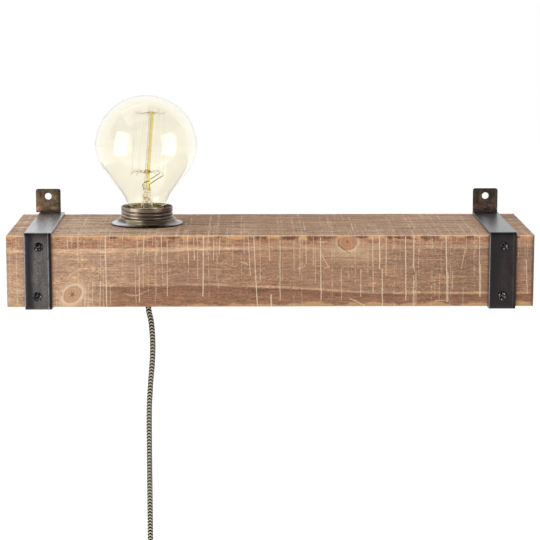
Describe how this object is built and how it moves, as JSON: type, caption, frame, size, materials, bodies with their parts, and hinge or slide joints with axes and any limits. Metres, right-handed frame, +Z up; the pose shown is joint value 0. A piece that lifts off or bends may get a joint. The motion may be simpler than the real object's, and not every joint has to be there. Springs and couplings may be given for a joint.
{
  "type": "wall lamp with shelf",
  "caption": "Rustic timber shelf in two bent steel straps with wall tabs, a bare globe bulb in a sunk threaded lampholder and a textile cord with switch and plug.",
  "frame": {"origin": "midway between the centres of the two wall holes, on the wall plane behind the tabs", "axes": "+Y into the wall, +X along the shelf to the right as seen from the room, +Z up"},
  "size_m": [0.4, 0.1198, 0.5786],
  "materials": {
    "pine": "rustic, brushed and brown stained",
    "black_steel": "blackened steel, satin",
    "patina_steel": "heat tinted brown steel, satin",
    "weld": "weld bead, heat tinted",
    "black_screw": "black phosphate",
    "gunmetal": "gunmetal plated, polished",
    "porcelain": "glazed porcelain",
    "brass": "plain",
    "zinc": "zinc or nickel plated",
    "black_nylon": "matt",
    "braid": "black and beige textile braid",
    "core_brown": "PVC",
    "amber_glass": "very pale amber, clear",
    "black_glass": "vitrified",
    "solder": "tin solder",
    "stem_glass": "clear",
    "rod_glass": "amber glass",
    "support_wire": "molybdenum wire",
    "filament": "carbon strand look",
    "lead_wire": "dark nickel wire"
  },
  "bodies": {
    "lamp": {"beam": "pine", "strap_left": "black_steel", "strap_right": "black_steel", "wall_tab_left": "patina_steel", "wall_tab_right": "patina_steel", "weld_beads": "weld", "strap_screws": "black_screw", "lampholder_mantle": "gunmetal", "shade_ring": "gunmetal", "lampholder_cap": "gunmetal", "lampholder_insert": "porcelain", "thread_sleeve": "brass", "centre_contact": "brass", "holder_terminals": "brass", "terminal_screws": "zinc", "fixing_nipple": "zinc", "nipple_washer": "zinc", "nipple_nut": "zinc", "cord_bush": "black_nylon", "cord_inside": "braid", "cord_cores": "core_brown", "cord_drop": "braid", "switch_front_shell": "black_nylon", "switch_back_shell": "black_nylon", "switch_screws": "zinc", "switch_contacts": "brass", "switch_cord_ends": "braid", "cord_lead": "braid", "cord_coil": "braid", "coil_tie": "black_nylon", "cord_tail": "braid", "plug_body": "black_nylon", "plug_relief": "black_nylon", "plug_pins": "zinc", "plug_pin_sleeves": "black_nylon"},
    "bulb_tip": {"bulb_contact": "solder"},
    "bulb": {"bulb_glass": "amber_glass", "bulb_cap": "brass", "bulb_insulator": "black_glass", "bulb_stem": "stem_glass", "bulb_rod": "rod_glass", "bulb_supports_upper": "support_wire", "bulb_supports_lower": "support_wire", "bulb_filament": "filament", "bulb_lead_wires": "lead_wire"},
    "rocker": {"switch_rocker": "black_nylon"}
  },
  "joints": [
    {"name": "bulb_lift", "type": "slide", "parent": "lamp", "child": "bulb_tip", "axis": [0, 0, 1], "range_m": [0, 0.0182]},
    {"name": "bulb_turn", "type": "hinge", "parent": "bulb_tip", "child": "bulb", "pos_m": [-0.095, -0.052, -0.015], "axis": [0, 0, 1], "range_deg": [0, 1800]},
    {"name": "rocker_tilt", "type": "hinge", "parent": "lamp", "child": "rocker", "pos_m": [-0.095, -0.0544, -0.3087], "axis": [1, 0, 0], "range_deg": [0, 16]}
  ],
  "couplings": [
    {"joint": "bulb_lift", "follows": "bulb_turn", "m_per_rad": 0.00057757}
  ]
}
